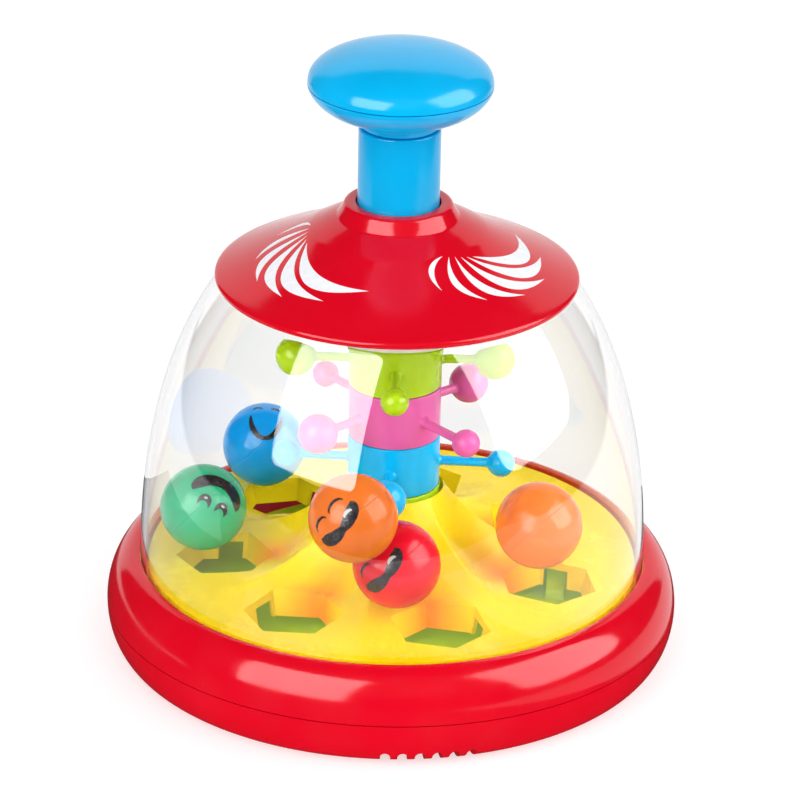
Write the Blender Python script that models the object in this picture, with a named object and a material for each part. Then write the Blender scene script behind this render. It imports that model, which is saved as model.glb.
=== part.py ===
"""A press-and-spin ball popper: pressing the knob spins a rotor that flicks balls about under a clear dome.

The toy stands on Z = 0 with its spin axis on Z. The script works in metres; the sizes below are in millimetres.
"""
from math import atan2, cos, degrees, pi, radians, sin

import bmesh
import bpy
from mathutils import Matrix, Vector

MM = 0.001
GAP = 0.3                        # between pieces that touch

# Base
BASE_R = 99.65                   # widest radius, at the seam
SEAM_Z = 17.3
SHELL_T = 2.2
FOOT_R = 87.9                    # outer edge of the ring that stands on the table
FOOT_W = 3.4
BOTTOM_Z = 2.5                   # recessed underside
UPPER_LIP_R = 89.2               # where the upper shell turns over towards the dome
UPPER_LIP_Z = 34.8
NOTCH_ANGLES = [-91.2 + 3.8 * k for k in range(6)]
NOTCH_W = 3.1
NOTCH_H = 2.3

# Dome
DOME_R = 87.9
DOME_T = 1.8
DOME_FLANGE_R = 90.0
DOME_FLANGE_Z = 28.0
DOME_CURVE = (16.7, 162.5, 1.97, 2.22)         # crown radius, crown height and the two powers of the curve
DOME_TOP_R = 60.3                # where the visible curve ends under the hat
DOME_TOP_Z = 139.4
DOME_HOLE_R = 17.6

# Floor plate with its wells
FLOOR_T = 2.0
FLOOR_HOLE_R = 17.5
FLOOR_PEAK_Z = 60.0
FLOOR_R = 85.2
FLOOR_RIM_Z = 34.2
FLOOR_FLAT_Z = 33.2              # level of the channels round the wells
CHANNEL_END_R = 41.0
BAND_R = 75.0                    # the smooth outer band starts here
RIDGE_END_R = 77.0
WELLS = 7
WELL_FIRST = -73.0               # degrees
WELL_RADIUS = 58.3               # from the axis to a well's centre
WELL_HEX = 15.0                  # corner radius of the hexagon at the skirt's lower edge
WELL_SLOPE = 0.27                # how fast the hexagon widens upwards
SKIRT_Z = 25.0
SKIRT_T = 1.5
CAM_SLOT = (53.6, 62.0, 31.0)    # inner radius, outer radius and top of the slots that the cams pass through

# Rotor and its column
DISC_R = 73.0
DISC_Z = 18.0
DISC_T = 2.2
HUB_R = 16.2
HUB_TOP_Z = 61.0
CAM_ANGLES = [4.1, 107.0, 261.3]  # unevenly spread, so the balls jump out of step
CAM_R = (54.6, 61.0)
CAM_TOP_Z = 30.2
SPINDLE_R = 13.2
SPINDLE_BORE_R = 11.3
RING_R = 16.0
RING_BORE_R = 13.5
RING_BOTTOMS = {"arm_ring_blue": 61.3, "arm_ring_pink": 79.8, "arm_ring_green": 98.7}
RING_TOPS = {"arm_ring_blue": 79.5, "arm_ring_pink": 98.4, "arm_ring_green": 117.3}
ARM_Z = {"arm_ring_blue": 69.5, "arm_ring_pink": 88.5, "arm_ring_green": 107.5}
BIG_ARM_ANGLE = {"arm_ring_blue": 86.0, "arm_ring_pink": 41.0, "arm_ring_green": 0.0}
BIG_BALL = (34.3, 7.0)           # distance from the axis, radius
SMALL_BALL = (37.3, 4.8)
ARM_SHAFT_R = 1.6

# Hat
HAT_R = 62.3
HAT_RIM_Z = 140.0
COLLAR_Z = 165.7
COLLAR_R = 19.1
COLLAR_BORE_R = 14.5
FLARE_R = 30.0                   # the flare's curve starts here; inside it is a cone up to the collar
CONE_SLOPE = 0.55
HAT_T = 2.2

# Press mechanism
TUBE_R = 14.0
TUBE_TOP_Z = 192.6
TUBE_FOOT_Z = 146.8
STOP_LIP_R = 14.95
HOUSING_R = 17.0
HOUSING_BORE_R = 15.3
HOUSING_FLOOR_Z = 119.5
WEB_Z = 184.0
KNOB_R = 31.4
KNOB_SEAM_Z = 208.0
KNOB_TOP_Z = 220.6
ROD_LEAD = 32.0                  # height of one full twist of the rod
ROD_SECTION = (5.0, 2.0)
ROD_FOOT_Z = 100.0
NUT_Z = (108.0, 113.0)
SPRING_WIRE_R = 0.65
SPRING_R = 9.6
SPRING_TURNS = 7

# Screws: radius from the axis and angles
BASE_SCREWS = (78.0, [4.1, 107.0, 209.9, 312.7])
COLLAR_SCREWS = (93.0, [20.0, 110.0, 200.0, 290.0])
HAT_SCREWS = (25.0, [30.0, 150.0, 270.0])

# Loose balls, caught in mid-hop: name -> distance from the axis, angle and height of the centre
LOOSE_R = 15.0
LOOSE_BALLS = {
    "ball_blue": (69.4, 132.5, 50.0),
    "ball_green": (66.0, 185.0, 52.0),
    "ball_orange": (54.0, -21.0, 54.0),
    "ball_red": (49.8, -88.0, 53.0),
    "ball_coral": (65.5, -101.5, 77.0),
}

SHELL_STEPS = 32
ROUND_STEPS = 24
SMALL_STEPS = 12

RED = (0.80, 0.004, 0.018)
BLUE = (0.045, 0.50, 0.86)
YELLOW = (1.0, 0.78, 0.005)
LIME = (0.42, 0.68, 0.01)
PINK = (0.85, 0.10, 0.34)
SKY = (0.0, 0.42, 0.86)
WHITE = (0.85, 0.85, 0.82)
STEEL = (0.60, 0.60, 0.62)


def clear_scene():
    for item in list(bpy.data.objects):
        bpy.data.objects.remove(item, do_unlink=True)


def make_material(name, colour, roughness, metallic=0.0, alpha=1.0):
    material = bpy.data.materials.new(name)
    material.use_nodes = True
    shader = material.node_tree.nodes["Principled BSDF"]
    shader.inputs["Base Color"].default_value = (*colour, 1.0)
    shader.inputs["Roughness"].default_value = roughness
    shader.inputs["Metallic"].default_value = metallic
    shader.inputs["Alpha"].default_value = alpha
    return material


def add_object(name, bm, material=None, parent=None):
    """Turns a bmesh in millimetres into an object in metres."""
    bmesh.ops.scale(bm, vec=(MM, MM, MM), verts=bm.verts)
    bmesh.ops.recalc_face_normals(bm, faces=bm.faces)
    mesh = bpy.data.meshes.new(name)
    bm.to_mesh(mesh)
    bm.free()
    mesh.shade_smooth()
    mesh.set_sharp_from_angle(angle=radians(35.0))
    item = bpy.data.objects.new(name, mesh)
    bpy.context.scene.collection.objects.link(item)
    if material:
        mesh.materials.append(material)
    if parent:
        item.parent = parent
        item.matrix_parent_inverse = parent.matrix_world.inverted()
    return item


def add_joint_empty(name, place=(0.0, 0.0, 0.0)):
    empty = bpy.data.objects.new(name, None)
    empty.empty_display_size = 0.01
    empty.location = Vector(place) * MM
    bpy.context.scene.collection.objects.link(empty)
    bpy.context.view_layer.update()
    return empty


def quarter(r0, z0, r1, z1, power_r, power_z, steps):
    """Points from (r0, z0), where the curve is level, to (r1, z1), where it is upright."""
    points = []
    for k in range(steps + 1):
        t = 0.5 * pi * k / steps
        r = r0 + (r1 - r0) * sin(t) ** (2.0 / power_r)
        z = z1 + (z0 - z1) * max(cos(t), 0.0) ** (2.0 / power_z)
        points.append((r, z))
    return points


def turned(profile, steps, bm=None):
    """Spins a closed outline of (radius, height) points about Z."""
    if bm is None:
        bm = bmesh.new()
    verts = [bm.verts.new((r, 0.0, z)) for r, z in profile]
    edges = [bm.edges.new((a, b)) for a, b in zip(verts, verts[1:])]
    on_axis = profile[0][0] == 0.0 and profile[-1][0] == 0.0
    if not on_axis:
        edges.append(bm.edges.new((verts[-1], verts[0])))
    bmesh.ops.spin(bm, geom=verts + edges, axis=(0, 0, 1), cent=(0, 0, 0),
                   angle=2.0 * pi, steps=steps, use_merge=True)
    bmesh.ops.remove_doubles(bm, verts=bm.verts, dist=0.0005)
    return bm


def drum(bm, centre, radius, z0, z1, steps):
    """Adds an upright cylinder."""
    place = Matrix.Translation((centre[0], centre[1], 0.5 * (z0 + z1)))
    bmesh.ops.create_cone(bm, cap_ends=True, segments=steps, radius1=radius, radius2=radius,
                          depth=z1 - z0, matrix=place)
    return bm


def at(radius, angle):
    return radius * cos(radians(angle)), radius * sin(radians(angle))


def cut(item, bm, operation="DIFFERENCE"):
    """Adds a Boolean with a hidden tool object made from bm."""
    tool = add_object(item.name + "_tool_" + str(len(item.modifiers)), bm)
    tool.hide_render = True
    tool.display_type = "WIRE"
    modifier = item.modifiers.new("boolean", "BOOLEAN")
    modifier.operation = operation
    modifier.object = tool
    return item


def drums(places, radius, z0, z1, steps=SMALL_STEPS):
    bm = bmesh.new()
    for place in places:
        drum(bm, place, radius, z0, z1, steps)
    return bm


def ring_places(pattern):
    radius, angles = pattern
    return [at(radius, angle) for angle in angles]


# ---- floor surface -------------------------------------------------------------------------------

def channel_height(r):
    if r < CHANNEL_END_R:
        share = (CHANNEL_END_R - r) / (CHANNEL_END_R - FLOOR_HOLE_R)
        return FLOOR_FLAT_Z + (FLOOR_PEAK_Z - FLOOR_FLAT_Z) * share ** 1.7
    if r < BAND_R:
        return FLOOR_FLAT_Z
    share = (r - BAND_R) / (FLOOR_R - BAND_R)
    return FLOOR_FLAT_Z + (FLOOR_RIM_Z - FLOOR_FLAT_Z) * share


def ridge_height(r):
    foot = FLOOR_FLAT_Z + 0.3
    share = max(RIDGE_END_R - r, 0.0) / (RIDGE_END_R - FLOOR_HOLE_R)
    return max(channel_height(r), foot + (FLOOR_PEAK_Z - foot) * share ** 3.0)


def floor_height(r, angle):
    """Top of the floor plate: a channel runs to each well, with a ridge between neighbours."""
    pitch = 360.0 / WELLS
    off = (angle - WELL_FIRST + 0.5 * pitch) % pitch - 0.5 * pitch
    share = (abs(off) / (0.5 * pitch)) ** 2.0
    return channel_height(r) * (1.0 - share) + ridge_height(r) * share


def floor_section(angle):
    """One radial cut of the floor plate, as a closed outline from the hole's top edge outwards."""
    radii = [17.5, 20.5, 24.5, 29.5, 35.0, 41.0, 50.0, 61.0, 70.0, 77.0, FLOOR_R]
    top = [(r, floor_height(r, angle)) for r in radii]
    rim = [
        (FLOOR_R, 27.7),
        (89.7, 27.7),
        (89.7, 22.0),
        (96.0, 22.0),
        (96.0, 20.0),
        (87.7, 20.0),
        (87.7, 25.7),
        (FLOOR_R - FLOOR_T, 25.7),
        (FLOOR_R - FLOOR_T, FLOOR_RIM_Z - FLOOR_T - 0.2),
    ]
    under = [(r, floor_height(r, angle) - FLOOR_T) for r in (77.0, 61.0, 41.0, 33.0, 26.0, 21.0, 17.5)]
    return top + rim + under


def hexagon(bm, angle, wall, z0, z1=None):
    """Adds a hexagonal funnel centred on a well, with corners pointing along its radius.

    It is wider than the well by the given wall. With no top height given it ends inside the floor's thickness.
    """
    centre = at(WELL_RADIUS, angle)
    low, high = [], []
    for k in range(6):
        a = angle + 60.0 * k
        radius = WELL_HEX + wall + WELL_SLOPE * (z0 - SKIRT_Z)
        low.append(bm.verts.new((centre[0] + at(radius, a)[0], centre[1] + at(radius, a)[1], z0)))
        reach = (z1 or FLOOR_FLAT_Z) - SKIRT_Z
        x, y = at(WELL_HEX + wall + WELL_SLOPE * reach, a)
        x, y = centre[0] + x, centre[1] + y
        top = z1 or floor_height(Vector((x, y)).length, degrees(atan2(y, x))) - 0.7
        high.append(bm.verts.new((x, y, top)))
    peak = bm.verts.new((centre[0], centre[1], z1 or FLOOR_FLAT_Z - 0.7))
    bm.faces.new(reversed(low))
    for k in range(6):
        m = (k + 1) % 6
        bm.faces.new((low[k], low[m], high[m], high[k]))
        bm.faces.new((high[k], high[m], peak))


def build_floor(material):
    steps = WELLS * 5
    bm = bmesh.new()
    sections = []
    for k in range(steps):
        angle = WELL_FIRST + 360.0 * (k + 0.5) / steps
        points = []
        for r, z in floor_section(angle):
            x, y = at(r, angle)
            points.append(bm.verts.new((x, y, z)))
        sections.append(points)
    count = len(sections[0])
    for k in range(steps):
        here, there = sections[k], sections[(k + 1) % steps]
        for i in range(count):
            m = (i + 1) % count
            bm.faces.new((here[i], here[m], there[m], there[i]))
    floor = add_object("floor_plate", bm, material)
    angles = [WELL_FIRST + 360.0 * k / WELLS for k in range(WELLS)]

    skirts = bmesh.new()
    for angle in angles:
        hexagon(skirts, angle, SKIRT_T + 0.2, SKIRT_Z)
    cut(floor, skirts, "UNION")
    cut(floor, drums(ring_places(BASE_SCREWS), 4.0, 11.8, 32.2), "UNION")
    r0, r1, slot_top = CAM_SLOT
    cut(floor, turned([(r0, slot_top), (r1, slot_top), (r1, 23.0), (r0, 23.0)], 56))

    holes = bmesh.new()
    for angle in angles:
        hexagon(holes, angle, 0.0, SKIRT_Z - 4.0, 48.0)
    cut(floor, holes)
    cut(floor, drums(ring_places(BASE_SCREWS), 1.7, 10.0, 25.0))
    cut(floor, drums(ring_places(COLLAR_SCREWS), 1.5, 19.0, 23.0))
    return floor


# ---- base ------------------------------------------------------------------------------------------

def build_base(material):
    outer = quarter(FOOT_R, 0.0, BASE_R, SEAM_Z - 0.35, 2.3, 2.0, 5)[::-1]
    inner = quarter(FOOT_R - SHELL_T, BOTTOM_Z + SHELL_T, BASE_R - SHELL_T, SEAM_Z - 0.35, 2.3, 2.0, 4)
    tongue = [(BASE_R - 2.6, SEAM_Z - 0.35), (BASE_R - 2.6, 19.5), (BASE_R - 3.7, 19.5), (BASE_R - 3.7, 14.5)]
    inner = [point for point in inner if point[1] < 14.0]
    under = [(FOOT_R - FOOT_W, 0.0), (FOOT_R - FOOT_W, BOTTOM_Z), (0.0, BOTTOM_Z)]
    boss = [(0.0, 4.2), (2.8, 4.2), (2.8, 15.8), (6.5, 15.8), (6.5, BOTTOM_Z + SHELL_T)]
    profile = [(0.0, BOTTOM_Z)] + under[:-1][::-1] + outer[::-1] + tongue + inner[::-1] + boss[::-1]
    lower = add_object("base_lower_shell", turned(profile, SHELL_STEPS), material)
    cut(lower, drums(ring_places(BASE_SCREWS), 4.6, 4.0, 11.5), "UNION")
    cut(lower, drums(ring_places(BASE_SCREWS), 3.5, 0.0, 6.2))
    cut(lower, drums(ring_places(BASE_SCREWS), 1.8, 5.0, 13.0))
    notches = bmesh.new()
    for angle in NOTCH_ANGLES:
        turn = Matrix.Rotation(radians(angle), 4, "Z") @ Matrix.Translation((FOOT_R, 0.0, NOTCH_H / 2 - 1.0))
        size = Matrix.Diagonal((16.0, NOTCH_W, NOTCH_H + 2.0, 1.0))
        bmesh.ops.create_cube(notches, size=1.0, matrix=turn @ size)
    cut(lower, notches)

    outside = quarter(UPPER_LIP_R, UPPER_LIP_Z, BASE_R, SEAM_Z, 1.84, 1.875, 6)
    inside = quarter(90.3, UPPER_LIP_Z - 2.4, BASE_R - SHELL_T, SEAM_Z, 1.84, 1.875, 3)[::-1]
    lip = [(90.3, 30.1), (DOME_R + 0.35, 30.1), (DOME_R + 0.35, UPPER_LIP_Z - 0.3)]
    upper = add_object("base_upper_shell", turned(outside + inside + lip, SHELL_STEPS), material)
    cut(upper, drums(ring_places(COLLAR_SCREWS), 2.5, 22.4, 29.8), "UNION")
    cut(upper, drums(ring_places(COLLAR_SCREWS), 1.5, 21.0, 28.6))
    return lower, upper


def build_dome(material):
    crown_r, crown_z, power_r, power_z = DOME_CURVE

    def wall(offset, limit, steps):
        curve = quarter(crown_r, crown_z - offset, DOME_R - offset, 33.0, power_r, power_z, steps)
        return [point for point in curve if point[0] > limit]

    outside = [(DOME_HOLE_R, DOME_TOP_Z), (56.3, DOME_TOP_Z), (58.8, 138.7)] + wall(0.0, 59.5, 12)
    foot = [
        (DOME_R, DOME_FLANGE_Z + 1.8),
        (DOME_FLANGE_R, DOME_FLANGE_Z + 1.8),
        (DOME_FLANGE_R, DOME_FLANGE_Z),
        (DOME_R - DOME_T, DOME_FLANGE_Z),
    ]
    inside = wall(DOME_T, 57.5, 12)[::-1] + [(55.8, DOME_TOP_Z - DOME_T), (DOME_HOLE_R, DOME_TOP_Z - DOME_T)]
    dome = add_object("dome", turned(outside + foot + inside, SHELL_STEPS), material)
    return cut(dome, drums(ring_places(HAT_SCREWS), 1.7, 136.0, 141.0))


# ---- hat and press mechanism ---------------------------------------------------------------------

def hat_height(r):
    """The hat's flare: a straight cone near the collar, then a curve that eases towards the rim."""
    out = max(r, FLARE_R)
    share = 1.0 - (out - COLLAR_R) / (HAT_R - 1.0 - COLLAR_R)
    rise = 0.21 * share ** 4.6 + 0.79 * share
    return HAT_RIM_Z + (COLLAR_Z - 0.8 - HAT_RIM_Z) * rise + CONE_SLOPE * (out - r)


def build_hat(material):
    collar = [(17.6, COLLAR_Z), (18.8, 165.0), (COLLAR_R, 163.6), (20.9, 160.6)]
    flare = [(r, hat_height(r)) for r in (24.0, FLARE_R, 36.0, 44.0, 53.0, HAT_R - 1.0)]
    rim = [(HAT_R - 0.2, 139.4), (HAT_R, 138.6), (HAT_R - 0.5, 137.4), (HAT_R - 1.35, 137.4), (60.7, 138.1)]
    under = [(r, hat_height(r) - HAT_T) for r in (55.0, 40.0, 27.0, 22.0)]
    tube = [(18.6, 160.2), (16.6, 159.6), (16.6, 149.3), (COLLAR_BORE_R, 149.3), (COLLAR_BORE_R, COLLAR_Z)]
    hat = add_object("hat", turned(collar + flare + rim + under + tube, SHELL_STEPS), material)
    ribs = bmesh.new()
    for angle in HAT_SCREWS[1]:
        turn = Matrix.Rotation(radians(angle), 4, "Z") @ Matrix.Translation((20.3, 0.0, 153.6))
        bmesh.ops.create_cube(ribs, size=1.0, matrix=turn @ Matrix.Diagonal((8.8, 1.8, 7.2, 1.0)))
    cut(hat, ribs, "UNION")
    cut(hat, drums(ring_places(HAT_SCREWS), 3.2, 142.0, 155.6), "UNION")
    return cut(hat, drums(ring_places(HAT_SCREWS), 1.7, 140.0, 153.0))


def build_housing(material):
    top = 149.0
    flange_z = DOME_TOP_Z + GAP
    profile = [
        (HOUSING_BORE_R, top),
        (HOUSING_R, top),
        (HOUSING_R, flange_z + 2.0),
        (30.0, flange_z + 2.0),
        (30.0, flange_z),
        (HOUSING_R, flange_z),
        (HOUSING_R, HOUSING_FLOOR_Z),
        (6.4, HOUSING_FLOOR_Z),
        (6.4, HOUSING_FLOOR_Z + 2.0),
        (HOUSING_BORE_R, HOUSING_FLOOR_Z + 2.0),
    ]
    housing = add_object("guide_housing", turned(profile, ROUND_STEPS), material)
    return cut(housing, drums(ring_places(HAT_SCREWS), 1.7, 138.0, 143.0))


def build_plunger(materials, joint):
    tube = [
        (TUBE_R - 1.6, TUBE_TOP_Z),
        (TUBE_R - 0.4, TUBE_TOP_Z),
        (TUBE_R, TUBE_TOP_Z - 0.4),
        (TUBE_R, TUBE_FOOT_Z + 1.8),
        (STOP_LIP_R, TUBE_FOOT_Z + 1.8),
        (STOP_LIP_R, TUBE_FOOT_Z),
        (TUBE_R - 1.6, TUBE_FOOT_Z),
        (TUBE_R - 1.6, WEB_Z),
        (1.6, WEB_Z),
        (1.6, WEB_Z + 2.0),
        (TUBE_R - 1.6, WEB_Z + 2.0),
    ]
    add_object("plunger_tube", turned(tube, ROUND_STEPS), materials["blue"], joint)

    bowl = quarter(15.2, 197.0, KNOB_R, KNOB_SEAM_Z - 0.35, 1.85, 1.56, 5)[::-1]
    stem = [(13.2, 194.6), (13.2, 192.95), (12.0, 192.95), (12.0, 187.0), (10.4, 187.0), (10.4, 196.0)]
    hollow = quarter(14.5, 199.4, KNOB_R - 2.4, KNOB_SEAM_Z - 0.35, 1.85, 1.56, 3)
    add_object("knob_bowl", turned(bowl + stem + hollow, ROUND_STEPS), materials["blue"], joint)

    crown = quarter(0.0, KNOB_TOP_Z, KNOB_R, KNOB_SEAM_Z, 2.0, 2.4, 6)
    inside = quarter(0.0, KNOB_TOP_Z - 2.2, KNOB_R - 2.4, KNOB_SEAM_Z, 2.0, 2.4, 4)[::-1]
    add_object("knob_cap", turned(crown + inside, ROUND_STEPS), materials["blue"], joint)

    add_object("rod_screw", screw_mesh((0.0, 0.0), 186.3, 176.5, 3.0, 1.3), materials["steel"], joint)
    build_rod(materials["steel"], joint)


def screw_mesh(place, seat_z, tip_z, head_r, shank_r):
    """A pan-head screw with a cross recess; its head is on the far side of seat_z from the tip."""
    way = 1.0 if seat_z > tip_z else -1.0
    crown = seat_z + way * 1.9
    head = [(0.0, crown), (head_r * 0.7, crown), (head_r, seat_z + way * 1.1), (head_r, seat_z)]
    shank = [(shank_r, seat_z), (shank_r, tip_z + way * 1.0), (shank_r * 0.4, tip_z), (0.0, tip_z)]
    bm = turned(head + shank, 8)
    bmesh.ops.translate(bm, vec=(place[0], place[1], 0.0), verts=bm.verts)
    return bm


def add_screws(name, pattern, seat_z, tip_z, head_r, shank_r, material):
    for number, place in enumerate(ring_places(pattern), start=1):
        bm = screw_mesh(place, seat_z, tip_z, head_r, shank_r)
        add_object(name + "_" + str(number), bm, material)


def twisted_bar(section, z0, z1, steps):
    """A bar whose rectangular section turns with height, once in ROD_LEAD."""
    bm = bmesh.new()
    half_x, half_y = 0.5 * section[0], 0.5 * section[1]
    corners = [(-half_x, -half_y), (half_x, -half_y), (half_x, half_y), (-half_x, half_y)]
    rings = []
    for k in range(steps + 1):
        z = z0 + (z1 - z0) * k / steps
        a = 2.0 * pi * z / ROD_LEAD
        ring = [bm.verts.new((x * cos(a) - y * sin(a), x * sin(a) + y * cos(a), z)) for x, y in corners]
        rings.append(ring)
    bm.faces.new(reversed(rings[0]))
    bm.faces.new(rings[-1])
    for low, high in zip(rings, rings[1:]):
        for k in range(4):
            m = (k + 1) % 4
            bm.faces.new((low[k], low[m], high[m], high[k]))
    return bm


def build_rod(material, joint):
    head_foot = 175.0
    rod = add_object("twist_rod", twisted_bar(ROD_SECTION, ROD_FOOT_Z, head_foot + 2.0, 56), material, joint)
    head = drum(bmesh.new(), (0.0, 0.0), 4.2, head_foot, WEB_Z - GAP, SMALL_STEPS)
    cut(rod, head, "UNION")
    return cut(rod, drums([(0.0, 0.0)], 1.6, head_foot + 1.0, WEB_Z + 1.0, 12))


def build_spring(material):
    """A coil of round wire whose ends are closed turns, lying flat on their seats."""
    z0 = HOUSING_FLOOR_Z + 2.0 + GAP + SPRING_WIRE_R
    z1 = WEB_Z - GAP - SPRING_WIRE_R
    per_turn, sides = 12, 4
    bm = bmesh.new()
    rings = []
    total = SPRING_TURNS * per_turn
    for k in range(total + 1):
        share = k / total
        a = 2.0 * pi * SPRING_TURNS * share
        z = z0 + (z1 - z0) * share
        outward = Vector((cos(a), sin(a), 0.0))
        ring = []
        for j in range(sides):
            b = 2.0 * pi * j / sides
            point = outward * (SPRING_R + SPRING_WIRE_R * cos(b)) + Vector((0, 0, z + SPRING_WIRE_R * sin(b)))
            ring.append(bm.verts.new(point))
        rings.append(ring)
    bm.faces.new(rings[0])
    bm.faces.new(reversed(rings[-1]))
    for low, high in zip(rings, rings[1:]):
        for j in range(sides):
            m = (j + 1) % sides
            bm.faces.new((low[j], high[j], high[m], low[m]))
    return add_object("return_spring", bm, material)


def teeth(z_root, z_tip, radius, count=12):
    """A ring of ratchet teeth standing from z_root to z_tip, cut as wedges."""
    bm = bmesh.new()
    for k in range(count):
        a0, a1 = 2.0 * pi * k / count, 2.0 * pi * (k + 0.8) / count
        inner, outer = 6.0, radius - 0.6
        points = []
        for a, r in ((a0, inner), (a0, outer), (a1, outer), (a1, inner)):
            points.append(bm.verts.new((r * cos(a), r * sin(a), z_root)))
        ridge = [bm.verts.new((inner * cos(a0), inner * sin(a0), z_tip)),
                 bm.verts.new((outer * cos(a0), outer * sin(a0), z_tip))]
        bm.faces.new((points[0], points[1], points[2], points[3]))
        bm.faces.new((points[0], points[1], ridge[1], ridge[0]))
        bm.faces.new((ridge[0], ridge[1], points[2], points[3]))
        bm.faces.new((points[1], points[2], ridge[1]))
        bm.faces.new((points[0], points[3], ridge[0]))
    return bm


def build_clutch(materials, nut_joint, rotor_joint):
    low, high = NUT_Z
    nut = add_object("drive_nut", turned([(0.0, high), (10.3, high), (10.3, low), (0.0, low)], 24),
                     materials["white"], nut_joint)
    slot = (ROD_SECTION[0] + 0.9, ROD_SECTION[1] + 1.0)
    cut(nut, twisted_bar(slot, low - 3.0, high + 3.0, 12))
    ring_top = low - 1.5
    ring = [(5.2, ring_top), (11.0, ring_top), (11.0, 101.5), (5.2, 101.5)]
    clutch = add_object("clutch_ring", turned(ring, 24), materials["lime"], rotor_joint)
    return cut(clutch, teeth(ring_top - 0.2, low - GAP, 11.0), "UNION")


# ---- rotor -----------------------------------------------------------------------------------------

def cam(bm, angle):
    """A ramp that rises along the rotor's rim track and drops again: it flicks the balls."""
    r0, r1 = CAM_R
    span, steps = 26.0, 6
    rings = []
    for k in range(steps + 1):
        share = k / steps
        height = DISC_Z + DISC_T - 0.5 + (CAM_TOP_Z - DISC_Z - DISC_T + 0.5) * sin(pi * share) ** 0.7
        a = angle + span * (share - 0.5)
        ring = []
        for r, z in ((r0, DISC_Z + 1.0), (r1, DISC_Z + 1.0), (r1, height), (r0, height)):
            x, y = at(r, a)
            ring.append(bm.verts.new((x, y, z)))
        rings.append(ring)
    bm.faces.new(rings[0])
    bm.faces.new(reversed(rings[-1]))
    for here, there in zip(rings, rings[1:]):
        for k in range(4):
            m = (k + 1) % 4
            bm.faces.new((here[k], here[m], there[m], there[k]))


def build_rotor(material, joint):
    profile = [
        (RING_BORE_R, HUB_TOP_Z),
        (HUB_R, HUB_TOP_Z),
        (HUB_R, 24.0),
        (HUB_R + 3.0, DISC_Z + DISC_T),
        (DISC_R, DISC_Z + DISC_T),
        (DISC_R, DISC_Z),
        (4.4, DISC_Z),
        (4.4, 32.0),
        (6.8, 32.0),
        (6.8, DISC_Z + 3.0),
        (RING_BORE_R, DISC_Z + 3.0),
    ]
    rotor = add_object("rotor_disc", turned(profile, SHELL_STEPS), material, joint)
    cams = bmesh.new()
    for angle in CAM_ANGLES:
        cam(cams, angle)
    return cut(rotor, cams, "UNION")


def arm_profile(reach, ball_r):
    """Outline of an arm with its end ball, along its own axis, from the ball's pole to the shaft's root."""
    join = atan2(ARM_SHAFT_R, (ball_r ** 2 - ARM_SHAFT_R ** 2) ** 0.5)
    steps = 5
    points = []
    for k in range(steps + 1):
        a = (pi - join) * k / steps
        points.append((ball_r * sin(a), reach + ball_r * cos(a)))
    points[0] = (0.0, reach + ball_r)
    return points + [(ARM_SHAFT_R, RING_R - 1.4), (0.0, RING_R - 1.4)]


def build_arm_ring(name, material, joint):
    low, high = RING_BOTTOMS[name], RING_TOPS[name]
    sleeve = [(RING_BORE_R, high), (RING_R, high), (RING_R, low), (RING_BORE_R, low)]
    ring = add_object(name, turned(sleeve, ROUND_STEPS), material, joint)
    arms = bmesh.new()
    for k in range(4):
        reach, ball_r = BIG_BALL if k % 2 == 0 else SMALL_BALL
        arm = turned(arm_profile(reach, ball_r), 8)
        level = Matrix.Rotation(radians(90.0), 4, "Y")
        turn = Matrix.Rotation(radians(BIG_ARM_ANGLE[name] + 90.0 * k), 4, "Z")
        bmesh.ops.transform(arm, matrix=Matrix.Translation((0, 0, ARM_Z[name])) @ turn @ level, verts=arm.verts)
        bmesh.ops.recalc_face_normals(arm, faces=arm.faces)
        holder = bpy.data.meshes.new("arm")
        arm.to_mesh(holder)
        arm.free()
        arms.from_mesh(holder)
        bpy.data.meshes.remove(holder)
    return cut(ring, arms, "UNION")


def build_column(materials, joint):
    top, foot = 117.3, DISC_Z + 3.3
    spindle = [(SPINDLE_BORE_R, top), (SPINDLE_R, top), (SPINDLE_R, foot), (SPINDLE_BORE_R, foot)]
    add_object("spindle_tube", turned(spindle, ROUND_STEPS), materials["white"], joint)
    build_arm_ring("arm_ring_green", materials["lime"], joint)
    build_arm_ring("arm_ring_pink", materials["pink"], joint)
    build_arm_ring("arm_ring_blue", materials["sky"], joint)
    cap = [
        (3.4, 121.2),
        (6.0, 121.2),
        (6.0, 119.2),
        (15.7, 119.2),
        (15.7, 117.6),
        (11.0, 117.6),
        (11.0, NUT_Z[1] + GAP),
        (3.4, NUT_Z[1] + GAP),
    ]
    add_object("column_cap", turned(cap, ROUND_STEPS), materials["lime"], joint)
    bush = [(2.58, 31.8), (4.1, 31.8), (4.1, 18.2), (2.58, 18.2)]
    add_object("pivot_bush", turned(bush, ROUND_STEPS), materials["brass"], joint)


def build_pivot(materials):
    pin = [(0.0, 31.5), (1.9, 31.5), (2.5, 30.9), (2.5, 4.5), (0.0, 4.5)]
    add_object("pivot_pin", turned(pin, ROUND_STEPS), materials["steel"])
    washer = [(2.8, 17.7), (7.0, 17.7), (7.0, 16.1), (2.8, 16.1)]
    add_object("thrust_washer", turned(washer, SMALL_STEPS), materials["white"])


def build_loose_balls(materials):
    for name, (radius, angle, height) in LOOSE_BALLS.items():
        centre = (*at(radius, angle), height)
        joint = add_joint_empty(name + "_hop", centre)
        bm = bmesh.new()
        bmesh.ops.create_uvsphere(bm, u_segments=12, v_segments=8, radius=LOOSE_R)
        bmesh.ops.translate(bm, vec=centre, verts=bm.verts)
        add_object(name, bm, materials[name], joint)


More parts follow.
